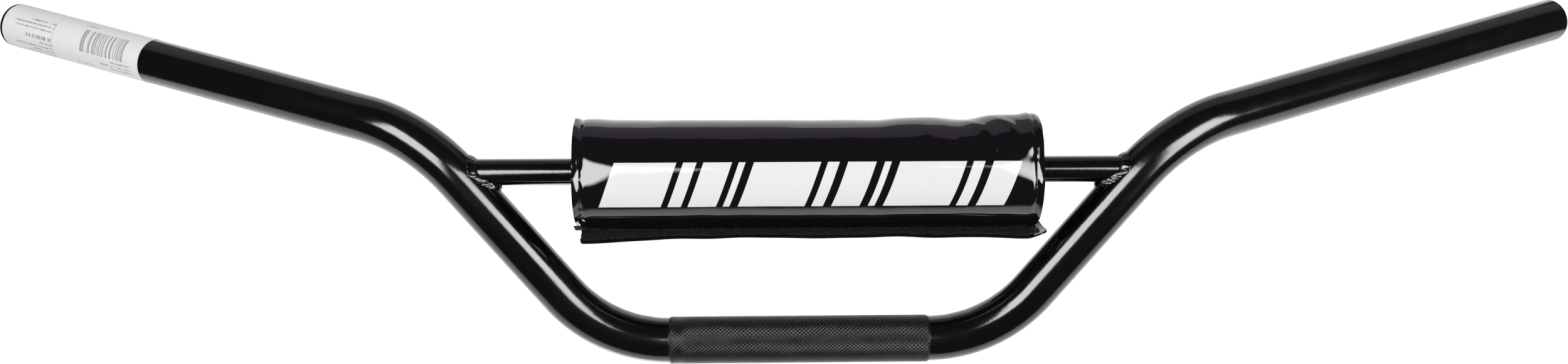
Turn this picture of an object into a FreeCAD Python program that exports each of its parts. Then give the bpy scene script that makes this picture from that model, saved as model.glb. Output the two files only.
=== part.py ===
# Handlebar for an all-terrain vehicle: one bent tube, a welded crossbar and a
# foam pad in a wrap-round cover. Millimetres. The origin is on the tube's axis in
# the middle of the clamp zone. +X runs along the clamp zone, +Z points up along
# the risers' plane, and the grips sweep back towards the rider, along +Y.
import math
import os

import FreeCAD, Part
from FreeCAD import Vector

# Main tube
tube_diameter = 22.2
tube_wall = 2.0
rim_chamfer = 0.9
bore_rim_chamfer = 0.4
clamp_straight = 128.0
lower_bend_radius = 66.6
riser_angle = 51.1
riser_straight = 76.1
upper_bend_radius = 68.1
grip_rise_angle = 8.7
grip_sweep_angle = 22.2
grip_straight = 219.6

# Knurled clamp zone
knurl_diameter = 23.2
knurl_end_margin = 0.5
knurl_run_out = 0.9

# Crossbar
crossbar_diameter = 12.7
crossbar_wall = 1.6
crossbar_height = 86.6

# Weld beads round the crossbar's coped ends
bead_radius = 2.5
bead_ripple = 0.3
bead_offset = 0.6
bead_pitch = 5.0
bead_overlap = 0.9

# Pad core
pad_length = 220.4
pad_centre = 3.5
foam_radius = 24.4
foam_slit = 1.2
bar_clearance = 0.06

# Pad cover
cover_thickness = 1.0
cover_clearance = 0.1
inner_edge_angle = 24.0
flap_offset = 3.6
flap_reach = 15.5
seam_lip = 3.3
lip_clearance = 0.05

# Closing strips on the cover
strip_thickness = 0.9
strip_width = 16.0
strip_end_margin = 3.5
strip_clearance = 0.05
hook_strip_edge_margin = 1.4
loop_strip_front_angle = 16.0

# Paper labels on the grip at the -X end
label_thickness = 0.1
label_glue = 0.02
label_seam_gap = 4.0
end_label_margin = 2.0
end_label_length = 33.0
inner_label_length = 55.7
label_spacing = 0.2

tube_radius = tube_diameter / 2
bore_radius = tube_radius - tube_wall
crossbar_radius = crossbar_diameter / 2
cover_radius = foam_radius + cover_clearance
crossbar_origin = Vector(0, 0, crossbar_height)
AXIS_X = Vector(1, 0, 0)
AXIS_Z = Vector(0, 0, 1)


def unit(vector):
    return vector * (1 / vector.Length)


def turned(vector, axis, degrees):
    return FreeCAD.Rotation(axis, degrees).multVec(vector)


def mirrored(shape):
    return shape.mirror(Vector(0, 0, 0), AXIS_X)


# The right half of the tube's path is a list of straights and bends. Each bend
# turns the running direction about its own axis, so every joint is tangent.
def bend_axis(before, after):
    return unit(before.cross(after))


riser_direction = turned(AXIS_X, Vector(0, -1, 0), riser_angle)
rise = math.radians(grip_rise_angle)
sweep = math.radians(grip_sweep_angle)
grip_direction = Vector(
    math.cos(rise) * math.cos(sweep),
    math.cos(rise) * math.sin(sweep),
    math.sin(rise),
)


class Run:
    def __init__(self, start, direction):
        self.point = start
        self.direction = direction
        self.legs = []

    def straight(self, length):
        self.legs.append(("straight", self.point, self.direction, length))
        self.point = self.point + self.direction * length

    def bend(self, radius, direction):
        axis = bend_axis(self.direction, direction)
        degrees = math.degrees(self.direction.getAngle(direction))
        centre = self.point + axis.cross(self.direction) * radius
        self.legs.append(("bend", self.point, self.direction, centre, axis, degrees))
        arm = self.point - centre
        self.point = centre + turned(arm, axis, degrees)
        self.direction = direction

    def solid(self, radius):
        parts = []
        for leg in self.legs:
            if leg[0] == "straight":
                parts.append(Part.makeCylinder(radius, leg[3], leg[1], leg[2]))
            else:
                disc = Part.Face(Part.Wire(Part.makeCircle(radius, leg[1], leg[2])))
                parts.append(disc.revolve(leg[3], leg[4], leg[5]))
        return parts

    def centreline(self):
        edges = []
        for leg in self.legs:
            if leg[0] == "straight":
                edges.append(Part.makeLine(leg[1], leg[1] + leg[2] * leg[3]))
            else:
                arm = leg[1] - leg[3]
                middle = leg[3] + turned(arm, leg[4], leg[5] / 2)
                end = leg[3] + turned(arm, leg[4], leg[5])
                edges.append(Part.Arc(leg[1], middle, end).toShape())
        return Part.Wire(edges)


half = Run(Vector(0, 0, 0), AXIS_X)
half.straight(clamp_straight / 2)
half.bend(lower_bend_radius, riser_direction)
half.straight(riser_straight)
half.bend(upper_bend_radius, grip_direction)
grip_start = half.point
half.straight(grip_straight)
grip_end = half.point


def whole_run(radius):
    right = half.solid(radius)
    middle = right[0].fuse(mirrored(right[0])).removeSplitter()
    pieces = right[1:] + [mirrored(piece) for piece in right[1:]]
    return middle.multiFuse(pieces)


def circle_edges(shape, centre, radius):
    found = []
    for edge in shape.Edges:
        curve = edge.Curve
        if not isinstance(curve, Part.Circle):
            continue
        near = (curve.Center - centre).Length < 0.01
        if near and abs(curve.Radius - radius) < 0.01:
            found.append(edge)
    return found


# The knurl is rolled up out of the tube, so its zone stands a little proud and
# runs out in a short slope at each end.
def knurl_zone():
    half_length = clamp_straight / 2 - knurl_end_margin
    radius = knurl_diameter / 2
    points = [
        Vector(-half_length, 0, bore_radius + tube_wall / 2),
        Vector(-half_length, 0, tube_radius),
        Vector(-half_length + knurl_run_out, 0, radius),
        Vector(half_length - knurl_run_out, 0, radius),
        Vector(half_length, 0, tube_radius),
        Vector(half_length, 0, bore_radius + tube_wall / 2),
    ]
    profile = Part.Face(Part.makePolygon(points + [points[0]]))
    return profile.revolve(Vector(0, 0, 0), AXIS_X, 360)


outer_run = whole_run(tube_radius)
left_end = Vector(-grip_end.x, grip_end.y, grip_end.z)
rims = circle_edges(outer_run, grip_end, tube_radius)
rims += circle_edges(outer_run, left_end, tube_radius)
tube = outer_run.makeChamfer(rim_chamfer, rims).cut(whole_run(bore_radius))
bore_rims = circle_edges(tube, grip_end, bore_radius)
bore_rims += circle_edges(tube, left_end, bore_radius)
tube = tube.makeChamfer(bore_rim_chamfer, bore_rims)
tube = tube.fuse(knurl_zone())


# The crossbar runs from riser to riser. Each end is coped to the tube's outside.
def riser_x(height):
    step = (height - half.legs[2][1].z) / half.legs[2][2].z
    return half.legs[2][1].x + half.legs[2][2].x * step


def crossbar_rod(radius):
    reach = riser_x(crossbar_height)
    start = Vector(-reach, 0, crossbar_height)
    return Part.makeCylinder(radius, 2 * reach, start, AXIS_X)


crossbar = crossbar_rod(crossbar_radius).cut(crossbar_rod(crossbar_radius - crossbar_wall))
crossbar = crossbar.cut(outer_run)
crossbar = max(crossbar.Solids, key=lambda solid: solid.Volume)


# A weld bead runs along the line where the crossbar meets the riser. Each pool of
# metal is a short cone that starts inside the one before it, so the bead is
# stepped like laid shingles. It is cut back to both tubes.
def weld_bead():
    rod = crossbar_rod(crossbar_radius)
    path = half.centreline()
    riser = Part.makeCompound(half.solid(tube_radius)[1:4])
    wall = [face for face in rod.Faces if isinstance(face.Surface, Part.Cylinder)]
    seam = wall[0].section(riser)
    loop = Part.Wire(Part.sortEdges(seam.Edges)[0])
    count = int(round(loop.Length / bead_pitch))
    centres = []
    for point in loop.discretize(Number=count + 1)[:-1]:
        away_from_bar = unit(Vector(0, point.y, point.z - crossbar_height))
        nearest = Part.Vertex(point).distToShape(path)[1][0][1]
        away_from_riser = unit(point - nearest)
        outward = unit(away_from_bar + away_from_riser)
        centres.append(point + outward * bead_offset)
    pools = []
    for centre, following in zip(centres, centres[1:] + centres[:1]):
        ahead = unit(following - centre)
        length = (following - centre).Length + 2 * bead_overlap
        start = centre - ahead * bead_overlap
        pools.append(Part.makeCone(bead_radius - bead_ripple, bead_radius, length, start, ahead))
    bead = pools[0].multiFuse(pools[1:])
    bead = bead.cut(rod).cut(outer_run)
    return max(bead.Solids, key=lambda solid: solid.Volume)


weld_right = weld_bead()
weld_left = mirrored(weld_right)


# Section of the pad, looking along the crossbar. An angle is measured round the
# bar from straight down, positive towards the rider.
def section_point(radius, degrees, centre_y=0.0):
    angle = math.radians(degrees)
    y = centre_y + radius * math.sin(angle)
    return Vector(0, y, crossbar_height - radius * math.cos(angle))


def section_arc(radius, first, last, centre_y=0.0):
    middle = (first + last) / 2
    points = [section_point(radius, a, centre_y) for a in (first, middle, last)]
    return Part.Arc(*points).toShape()


def extruded(edges, start, length):
    face = Part.Face(Part.Wire(edges))
    face.translate(Vector(start, 0, 0))
    return face.extrude(Vector(length, 0, 0))


def ring(outer, inner, start, length):
    origin = Vector(start, 0, crossbar_height)
    body = Part.makeCylinder(outer, length, origin, AXIS_X)
    return body.cut(Part.makeCylinder(inner, length, origin, AXIS_X))


def slit(start, length, depth):
    corner = Vector(start, -foam_slit / 2, crossbar_height - depth)
    return Part.makeBox(length, foam_slit, depth, corner)


# The core is slit along its underside so that it opens over the crossbar.
lip_depth = seam_lip + cover_thickness + lip_clearance
foam_length = pad_length - 2 * lip_depth
bar_hole = crossbar_radius + bar_clearance
foam = ring(foam_radius, bar_hole, pad_centre - foam_length / 2, foam_length)
foam = foam.cut(slit(pad_centre - foam_length / 2, foam_length, foam_radius + 1))


# The cover is one sheet. It starts behind the slit, runs forward under the core,
# over the top and down the back, then laps under itself. The lap leaves the
# curve and ends in a straight flap that points forward.
def cover_section():
    inner = cover_radius
    outer = cover_radius + cover_thickness
    lap_inner = inner + flap_offset
    lap_outer = outer + flap_offset
    tip_inner = Vector(0, -flap_reach + cover_thickness / 2, crossbar_height - lap_inner)
    tip_outer = Vector(0, tip_inner.y, crossbar_height - lap_outer)
    tip = Vector(0, -flap_reach, (tip_inner.z + tip_outer.z) / 2)
    return [
        Part.makeLine(section_point(outer, inner_edge_angle), section_point(inner, inner_edge_angle)),
        section_arc(inner, inner_edge_angle, -270),
        section_arc(lap_inner, 90, 0, -flap_offset),
        Part.makeLine(section_point(lap_inner, 0, -flap_offset), tip_inner),
        Part.Arc(tip_inner, tip, tip_outer).toShape(),
        Part.makeLine(tip_outer, section_point(lap_outer, 0, -flap_offset)),
        section_arc(lap_outer, 0, 90, -flap_offset),
        section_arc(outer, -270, inner_edge_angle),
    ]


cover = extruded(cover_section(), pad_centre - pad_length / 2, pad_length)


# An end piece is a disc that fits inside the cover, where the seam goes round, and
# is slit like the core.
def end_piece(side):
    back = pad_length / 2 - seam_lip - cover_thickness
    shape = ring(cover_radius - lip_clearance, bar_hole, back, cover_thickness)
    shape = shape.cut(slit(back - 1, cover_thickness + 2, foam_radius + 1))
    if side < 0:
        shape = mirrored(shape)
    shape.translate(AXIS_X * pad_centre)
    return shape


# The loop strip is sewn to the outside of the cover's first edge. The hook strip
# is sewn to the inside of the flap and shows above its front edge.
def loop_strip():
    inner = cover_radius + cover_thickness + strip_clearance
    outer = inner + strip_thickness
    first = -loop_strip_front_angle
    last = first + math.degrees(strip_width / inner)
    edges = [
        section_arc(inner, first, last),
        Part.makeLine(section_point(inner, last), section_point(outer, last)),
        section_arc(outer, last, first),
        Part.makeLine(section_point(outer, first), section_point(inner, first)),
    ]
    length = pad_length - 2 * strip_end_margin
    return extruded(edges, pad_centre - length / 2, length)


def hook_strip():
    bottom = crossbar_height - cover_radius - flap_offset + strip_clearance
    front = -flap_reach + hook_strip_edge_margin
    length = pad_length - 2 * strip_end_margin
    flat_end = -flap_offset
    curve = cover_radius + flap_offset - strip_clearance
    rest = strip_width - (flat_end - front)
    last = math.degrees(rest / curve)
    top = bottom + strip_thickness
    edges = [
        Part.makeLine(Vector(0, front, top), Vector(0, front, bottom)),
        Part.makeLine(Vector(0, front, bottom), Vector(0, flat_end, bottom)),
        section_arc(curve, 0, last, -flap_offset),
        Part.makeLine(
            section_point(curve, last, -flap_offset),
            section_point(curve - strip_thickness, last, -flap_offset),
        ),
        section_arc(curve - strip_thickness, last, 0, -flap_offset),
        Part.makeLine(Vector(0, flat_end, top), Vector(0, front, top)),
    ]
    return extruded(edges, pad_centre - length / 2, length)


# A label is a thin sleeve with its two edges a little apart on the rider's side.
left_grip_direction = Vector(-grip_direction.x, grip_direction.y, grip_direction.z)


def label(from_end, length):
    base = left_end - left_grip_direction * (from_end + length)
    side = unit(left_grip_direction.cross(AXIS_Z).cross(left_grip_direction))
    back = unit(left_grip_direction.cross(side))
    if back.y < 0:
        back = back * -1
    gap = math.degrees(label_seam_gap / tube_radius)
    start = turned(back, left_grip_direction, gap / 2)
    corner = base + start * (tube_radius + label_glue)
    rise_step = start * label_thickness
    run_step = left_grip_direction * length
    points = [corner, corner + rise_step, corner + rise_step + run_step, corner + run_step]
    profile = Part.Face(Part.makePolygon(points + [points[0]]))
    return profile.revolve(base, left_grip_direction, 360 - gap)


parts = {
    "handlebar_tube": tube,
    "crossbar_tube": crossbar,
    "weld_left": weld_left,
    "weld_right": weld_right,
    "label_end": label(end_label_margin, end_label_length),
    "label_inner": label(end_label_margin + end_label_length + label_spacing, inner_label_length),
    "pad_foam": foam,
    "pad_cover": cover,
    "pad_end_left": end_piece(-1),
    "pad_end_right": end_piece(1),
    "loop_strip": loop_strip(),
    "hook_strip": hook_strip(),
}

os.makedirs("parts", exist_ok=True)
for name, shape in parts.items():
    if len(shape.Solids) == 1:
        shape = shape.Solids[0]
    if not shape.isValid():
        raise RuntimeError(name + " is not valid")
    shape.exportStep("parts/" + name + ".step")
    box = shape.BoundBox
    print(name, "solids", len(shape.Solids), "volume %.1f" % shape.Volume,
          "x %.1f..%.1f y %.1f..%.1f z %.1f..%.1f" % (box.XMin, box.XMax, box.YMin, box.YMax, box.ZMin, box.ZMax))

print("grip straight", grip_start, "to", grip_end, "direction", grip_direction)
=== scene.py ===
import math

import bmesh
import bpy
import numpy as np
from mathutils import Matrix


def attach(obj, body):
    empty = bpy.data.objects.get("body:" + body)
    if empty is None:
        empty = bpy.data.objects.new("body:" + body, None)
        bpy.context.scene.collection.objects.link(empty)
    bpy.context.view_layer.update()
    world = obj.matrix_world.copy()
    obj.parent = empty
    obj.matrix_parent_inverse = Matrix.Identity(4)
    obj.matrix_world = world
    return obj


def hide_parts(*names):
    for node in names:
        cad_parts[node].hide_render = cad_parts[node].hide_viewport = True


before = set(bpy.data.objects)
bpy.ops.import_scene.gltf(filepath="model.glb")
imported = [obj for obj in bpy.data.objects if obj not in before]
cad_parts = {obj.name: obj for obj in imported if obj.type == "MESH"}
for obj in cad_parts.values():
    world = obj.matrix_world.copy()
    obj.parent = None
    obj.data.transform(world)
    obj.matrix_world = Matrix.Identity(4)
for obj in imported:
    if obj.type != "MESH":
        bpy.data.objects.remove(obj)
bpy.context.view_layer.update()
print("frame loaded:", len(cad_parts), "solids")

# Lengths are millimetres, but metres for the camera and the studio, and angles are degrees. A section angle
# round the bar or the pad starts at straight down and is positive towards the rider, along +Y.
toMetres = 0.001


def unitOf(vectors):
    # each vector divided by its length
    return vectors / np.linalg.norm(vectors, axis=-1, keepdims=True)


def ease(value):
    # 0 below 0, 1 above 1, and 3t^2 - 2t^3 between
    t = np.clip(value, 0.0, 1.0)
    return t * t * (3 - 2 * t)


def hill(value, centre, width):
    # a bell curve: e to the power of minus the squared distance from the centre in widths
    return np.exp(-(((value - centre) / width) ** 2))


def wander(value, seed, longest, shortest, waves=9):
    # a smooth irregular line between about -1 and 1: the sum of sines whose wavelengths run from longest to
    # shortest, each with its own phase and a size that falls with its wavelength
    rng = np.random.default_rng(seed)
    lengths = np.geomspace(longest, shortest, waves)
    phases = rng.uniform(0, 2 * math.pi, waves)
    sizes = (lengths / longest) ** 0.5
    total = np.zeros(np.shape(value))
    for length, phase, size in zip(lengths, phases, sizes):
        total = total + size * np.sin(2 * math.pi * np.asarray(value) / length + phase)
    return total / math.sqrt(np.sum(sizes**2))


def addObject(name, data):
    made = bpy.data.objects.new(name, data)
    bpy.context.scene.collection.objects.link(made)
    return made


def xyz(x, y, z):
    return np.stack(np.broadcast_arrays(x, y, z), axis=-1)


def onset(value, start, length):
    return ease((value - start) / length)


def addHills(line, value, rows):
    # the line with bell curves added to it, each given by its height, centre and width
    for height, centre, width in rows:
        line = line + height * hill(value, centre, width)
    return line


def standAt(side, up, back, place):
    # the matrix that turns a thing's own x, y and z to side, up and back and moves it to a place
    rows = [(side[k], up[k], back[k], place[k]) for k in range(3)]
    return Matrix(rows + [(0, 0, 0, 1)])


def makePiece(name, points, faces, cornerUv=None, weld=False, sharp=None, rises=None):
    # points are millimetres in any grid, faces is faces x corners; the faces are turned round together if
    # the closed shape's volume comes out negative, so that they point outwards
    coords = points.reshape(-1, 3)
    a, b, c = coords[faces[:, 0]], coords[faces[:, 1]], coords[faces[:, 2]]
    volume = np.sum(a * np.cross(b, c))
    if faces.shape[1] == 4:
        volume += np.sum(a * np.cross(c, coords[faces[:, 3]]))
    if volume < 0:
        faces = faces[:, ::-1]
        cornerUv = None if cornerUv is None else cornerUv[:, ::-1]
    count, corners = faces.shape
    mesh = bpy.data.meshes.new(name)
    mesh.vertices.add(len(coords))
    mesh.vertices.foreach_set("co", (coords * toMetres).astype(np.float32).ravel())
    mesh.loops.add(count * corners)
    mesh.loops.foreach_set("vertex_index", np.ascontiguousarray(faces, dtype=np.int32).ravel())
    mesh.polygons.add(count)
    mesh.polygons.foreach_set("loop_start", np.arange(0, count * corners, corners, dtype=np.int32))
    mesh.polygons.foreach_set("use_smooth", np.ones(count, dtype=bool))
    if cornerUv is not None:
        layer = mesh.uv_layers.new(name="UVMap")
        layer.uv.foreach_set("vector", np.ascontiguousarray(cornerUv, dtype=np.float32).ravel())
    if rises is not None:
        layer = mesh.attributes.new("rise", "FLOAT", "POINT")
        layer.data.foreach_set("value", rises.astype(np.float32).ravel())
    mesh.update(calc_edges=True)
    if weld:
        work = bmesh.new()
        work.from_mesh(mesh)
        bmesh.ops.remove_doubles(work, verts=work.verts, dist=2e-7)
        work.to_mesh(mesh)
        work.free()
    if sharp is not None:
        mesh.set_sharp_from_angle(angle=math.radians(sharp))
    mesh.validate()
    return addObject(name, mesh)


def gridFaces(rows, columns, closeRows=False, closeColumns=False):
    # the quads of a rows x columns grid, and each corner's row and column number before it wraps round
    i = np.arange(rows if closeRows else rows - 1)[:, None]
    j = np.arange(columns if closeColumns else columns - 1)[None, :]
    i, j = np.broadcast_arrays(i, j)
    rowNumber = np.stack([i, i + 1, i + 1, i], axis=-1).reshape(-1, 4)
    columnNumber = np.stack([j, j, j + 1, j + 1], axis=-1).reshape(-1, 4)
    return (rowNumber % rows) * columns + columnNumber % columns, rowNumber, columnNumber


def sheetPiece(name, middle, thickness, u, v, sharp=40.0):
    # a sheet with a real thickness, one number or one for each point: its two sides are the middle grid moved
    # half the thickness along the grid's own normals, and four strips close its edges; u and v are the grid's
    # flat sizes for the UV map
    rows, columns = middle.shape[:2]
    alongRows = np.gradient(middle, axis=0)
    alongColumns = np.gradient(middle, axis=1)
    normals = unitOf(np.cross(alongRows, alongColumns))
    half = np.asarray(thickness)[..., None] / 2
    coords = np.concatenate([middle + normals * half, middle - normals * half])
    faces = gridFaces(rows, columns)[0]
    back = faces[:, ::-1] + rows * columns
    rim = np.concatenate([
        np.arange(columns),
        np.arange(1, rows) * columns + columns - 1,
        (rows - 1) * columns + np.arange(columns - 2, -1, -1),
        np.arange(rows - 2, -1, -1) * columns,
    ])
    first, second = rim[:-1], rim[1:]
    edge = np.stack([second, first, first + rows * columns, second + rows * columns], axis=-1)
    u2, v2 = np.broadcast_arrays(np.asarray(u), np.asarray(v))
    flat = np.stack([u2.ravel(), v2.ravel()], axis=-1)
    flat = np.concatenate([flat, flat])
    allFaces = np.concatenate([faces, back, edge])
    return makePiece(name, coords, allFaces, cornerUv=flat[allFaces], sharp=sharp)


# Camera

camera = {
    "place": (-0.0242772, -0.6621434, 0.2592141), "yaw": 1.4523, "pitch": -15.0684, "roll": 0.0425,
    "lens": 32.638, "sensor": 36.0, "clip": (0.01, 50.0),
}


def makeCamera(values):
    yaw, pitch, roll = (math.radians(values[key]) for key in ("yaw", "pitch", "roll"))
    forward = np.array([math.sin(yaw) * math.cos(pitch), math.cos(yaw) * math.cos(pitch), math.sin(pitch)])
    level = np.array([math.cos(yaw), -math.sin(yaw), 0.0])
    rise = np.cross(level, forward)
    right = math.cos(roll) * level + math.sin(roll) * rise
    up = -math.sin(roll) * level + math.cos(roll) * rise
    data = bpy.data.cameras.new("photoCamera")
    data.lens, data.sensor_width, data.sensor_fit = values["lens"], values["sensor"], "HORIZONTAL"
    data.clip_start, data.clip_end = values["clip"]
    made = addObject("photoCamera", data)
    made.matrix_world = standAt(right, up, -forward, values["place"])
    bpy.context.scene.camera = made


makeCamera(camera)
print("camera placed")


# Shader helpers

class signal:
    # one value in a shader: arithmetic with it adds the math node that works it out
    def __init__(self, socket):
        self.socket, self.tree = socket, socket.id_data


def operate(method, operation, swapped=False):
    def work(self, other=0.0):
        return calc(operation, other, self) if swapped else calc(operation, self, other)
    setattr(signal, method, work)


for method, operation in {
    "add": "ADD", "sub": "SUBTRACT", "mul": "MULTIPLY", "truediv": "DIVIDE", "pow": "POWER",
    "abs": "ABSOLUTE", "gt": "GREATER_THAN", "lt": "LESS_THAN",
}.items():
    operate("__" + method + "__", operation)
operate("__rsub__", "SUBTRACT", swapped=True)


def addNode(tree, kind, inputs=None, **fields):
    # a new node of a kind, or of a shared group, with its inputs linked or set; its outputs come back as
    # signals, by number and by name
    grouped = not isinstance(kind, str)
    node = tree.nodes.new("ShaderNodeGroup" if grouped else kind)
    if grouped:
        node.node_tree = kind
    for key, value in fields.items():
        setattr(node, key, value)
    for key, value in (inputs or {}).items():
        if isinstance(value, signal):
            tree.links.new(value.socket, node.inputs[key])
        else:
            node.inputs[key].default_value = value
    outputs = {}
    for number, socket in enumerate(node.outputs):
        outputs[number] = outputs[socket.name] = signal(socket)
    return outputs


def calc(operation, first, second=0.0, clamp=False):
    tree = (first if isinstance(first, signal) else second).tree
    return addNode(tree, "ShaderNodeMath", {0: first, 1: second}, operation=operation, use_clamp=clamp)[0]


def span(value, low, high, toLow=0.0, toHigh=1.0):
    # value from low..high to toLow..toHigh along 3t^2 - 2t^3, held at the ends
    inputs = {"Value": value, "From Min": low, "From Max": high, "To Min": toLow, "To Max": toHigh}
    return addNode(value.tree, "ShaderNodeMapRange", inputs, interpolation_type="SMOOTHSTEP")["Result"]


def within(value, low, high):
    return (value > low) * (value < high)


def grey(level):
    return (level, level, level, 1)


def blend(factor, first, second):
    inputs = {"Factor": factor, 6: first, 7: second}
    return addNode(factor.tree, "ShaderNodeMix", inputs, data_type="RGBA")[2]


def parts(vector):
    outputs = addNode(vector.tree, "ShaderNodeSeparateXYZ", {0: vector})
    return outputs[0], outputs[1], outputs[2]


def noise(vector, scale, detail=2.0, rough=0.5):
    inputs = {"Vector": vector, "Scale": scale, "Detail": detail, "Roughness": rough}
    return addNode(vector.tree, "ShaderNodeTexNoise", inputs)["Fac"]


def placeIn(tree, kind="Object"):
    return addNode(tree, "ShaderNodeTexCoord")[kind]


def newTree(name):
    material = bpy.data.materials.new(name)
    material.use_nodes = True
    material.node_tree.nodes.clear()
    return material, material.node_tree


def showAs(tree, outputs):
    addNode(tree, "ShaderNodeOutputMaterial", {"Surface": outputs[0]})


# Studio: a pale floor, a back wall and two soft boxes in front of the object, one each side of the camera

studio = {
    "floorHeight": -0.78, "floorHalf": 14.0,
    "floorPatch": (-1.56, 2.5, -0.25, 1.26), "floorSoft": 0.09, "floorShine": 1.6, "farShine": 0.55,
    "pool": (-0.25, 0.52, 0.22, 2.0),
    "floorColor": 0.82, "floorGlow": 0.62,
    "wallPlace": 4.0, "wallSides": (-2.1, 3.2), "wallTop": 5.2, "wallShine": 1.35,
    "sideFade": 0.4, "topFade": 0.5,
    "roomLight": 0.5, "darkRoom": 0.07,
    "ceiling": (0.45, 0.39, 0.47), "ceilingFrom": (0.55, 0.75), "ceilingLine": 0.03,
}

softBoxes = {
    "left": {
        "place": (-0.455, -0.751, 0.340), "side": (-0.779, 0.358, 0.516), "away": (-0.370, -0.925, 0.082),
        "width": 0.590, "height": 0.480, "shine": 15.5, "light": 2.9, "edge": 0.06, "falloff": 0.0,
    },
    "right": {
        "place": (1.728, -1.920, 0.590), "side": (-0.901, 0.030, -0.434), "away": (0.107, -0.952, -0.286),
        "width": 1.992, "height": 1.716, "shine": 17.0, "light": 3.4, "edge": 0.15, "falloff": 0.3,
    },
}
edgeShine = 0.06


def flatStage(name, corners, material):
    mesh = bpy.data.meshes.new(name)
    mesh.from_pydata(corners, [], [(0, 1, 2, 3)])
    mesh.materials.append(material)
    made = addObject(name, mesh)
    return made


def rectangle(x, y, z):
    return [(-x, -y, z), (x, -y, z), (x, y, z), (-x, y, z)]


def onlyReflected(card, material):
    material.cycles.emission_sampling = "NONE"
    for ray in ("camera", "diffuse", "shadow", "transmission", "volume_scatter"):
        setattr(card, "visible_" + ray, False)


def boxPlace(values):
    # a flat face's axes and place: side and up lie in it, and away is its back
    away = unitOf(np.array(values["away"]))
    side = unitOf(np.array(values["side"]) - away * np.dot(values["side"], away))
    return standAt(side, np.cross(away, side), away, values["place"])


def makeSoftBox(name, values):
    # the lamp gives the light, at a plain level, and its cloth front is what the gloss paint shows
    width, height, edge = values["width"], values["height"], values["edge"]
    data = bpy.data.lights.new(name, "AREA")
    data.shape, data.size, data.size_y = "RECTANGLE", width, height
    data.energy = math.pi * width * height * values["light"]
    lamp = addObject(name, data)
    lamp.matrix_world = boxPlace(values)
    lamp.visible_camera = False
    lamp.visible_glossy = False

    material, tree = newTree(name + "Cloth")
    place = parts(placeIn(tree))
    across, up = abs(place[0]), abs(place[1])
    inward = calc("MINIMUM", width / 2 - across, height / 2 - up)
    outward = calc("MAXIMUM", across / (width / 2), up / (height / 2)) ** 2.0
    dimmed = calc("SUBTRACT", 1.0, outward * values["falloff"], clamp=True)
    strength = span(inward, -edge, edge, edgeShine, values["shine"]) * dimmed
    showAs(tree, addNode(tree, "ShaderNodeEmission", {"Strength": strength}))
    front = flatStage(name + "Front", rectangle(width / 2 + edge, height / 2 + edge, 0), material)
    front.matrix_world = boxPlace(values)
    onlyReflected(front, material)


def makeWorld(values):
    # reflections see a dark room, and a paler ceiling behind the line straight above the object; the camera
    # sees white
    world = bpy.data.worlds.new("studio")
    bpy.context.scene.world = world
    world.use_nodes = True
    tree = world.node_tree
    tree.nodes.clear()
    y, z = parts(placeIn(tree, "Generated"))[1:]
    ray = addNode(tree, "ShaderNodeLightPath")
    dark, line = values["darkRoom"], values["ceilingLine"]
    above = span(z, *values["ceilingFrom"]) * span(y, -line, line)
    room = blend(above, (dark, dark, dark * 1.05, 1), values["ceiling"] + (1,))
    color = blend(ray["Is Glossy Ray"], grey(values["roomLight"]), room)
    white = calc("MAXIMUM", ray["Is Camera Ray"], ray["Is Transmission Ray"])
    color = blend(white, color, grey(1.0))
    background = addNode(tree, "ShaderNodeBackground", {"Color": color, "Strength": 1.0})
    addNode(tree, "ShaderNodeOutputWorld", {"Surface": background[0]})


def makeFloor(values):
    # the camera sees a pale floor with the object's shadow; reflections see a lit patch with soft edges and a
    # brighter pool, a bell curve round its centre; from below the floor is clear
    material, tree = newTree("paleFloor")
    x, y = parts(placeIn(tree))[:2]
    ray = addNode(tree, "ShaderNodeLightPath")
    left, right, front, back = values["floorPatch"]
    soft = values["floorSoft"]
    inside = span(x, left - soft, left + soft) * span(x, right + soft, right - soft)
    inside = inside * span(y, front - soft, front + soft)
    inside = inside * span(y, back + 2 * soft, back - 2 * soft, values["farShine"], 1.0)
    poolX, poolY, poolSize, poolGain = values["pool"]
    squares = abs(x - poolX) ** 2.0 + abs(y - poolY) ** 2.0
    near = calc("EXPONENT", squares / -(poolSize**2))
    shine = inside * values["floorShine"] + near * poolGain + values["darkRoom"]
    paper = addNode(tree, "ShaderNodeBsdfDiffuse", {"Color": grey(values["floorColor"])})[0]
    glow = addNode(tree, "ShaderNodeEmission", {"Strength": values["floorGlow"]})[0]
    seen = addNode(tree, "ShaderNodeAddShader", {0: paper, 1: glow})[0]
    card = addNode(tree, "ShaderNodeEmission", {"Strength": shine})[0]
    clear = addNode(tree, "ShaderNodeBsdfTransparent")[0]
    under = addNode(tree, "ShaderNodeNewGeometry")["Backfacing"]
    mixed = paper
    for factor, other in ((ray["Is Camera Ray"], seen), (ray["Is Glossy Ray"], card), (under, clear)):
        mixed = addNode(tree, "ShaderNodeMixShader", {0: factor, 1: mixed, 2: other})[0]
    showAs(tree, [mixed])
    half = values["floorHalf"]
    flatStage("floor", rectangle(half, half, values["floorHeight"]), material)


def makeWall(values):
    material, tree = newTree("backWall")
    place = parts(placeIn(tree))
    left, right = values["wallSides"]
    top, fade = values["wallTop"], values["sideFade"]
    inside = span(place[0], left, left + fade) * span(place[0], right, right - fade)
    inside = inside * span(place[2], top, top - values["topFade"])
    strength = inside * values["wallShine"] + values["darkRoom"]
    showAs(tree, addNode(tree, "ShaderNodeEmission", {"Strength": strength}))
    y, low = values["wallPlace"], values["floorHeight"]
    wall = flatStage("backWall", [(left, y, low), (right, y, low), (right, y, top), (left, y, top)], material)
    onlyReflected(wall, material)


makeWorld(studio)
makeFloor(studio)
makeWall(studio)
for boxName, boxValues in softBoxes.items():
    makeSoftBox(boxName + "SoftBox", boxValues)
bpy.context.scene.view_settings.view_transform = "Standard"
print("studio lit")


# The bar's centre line

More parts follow.
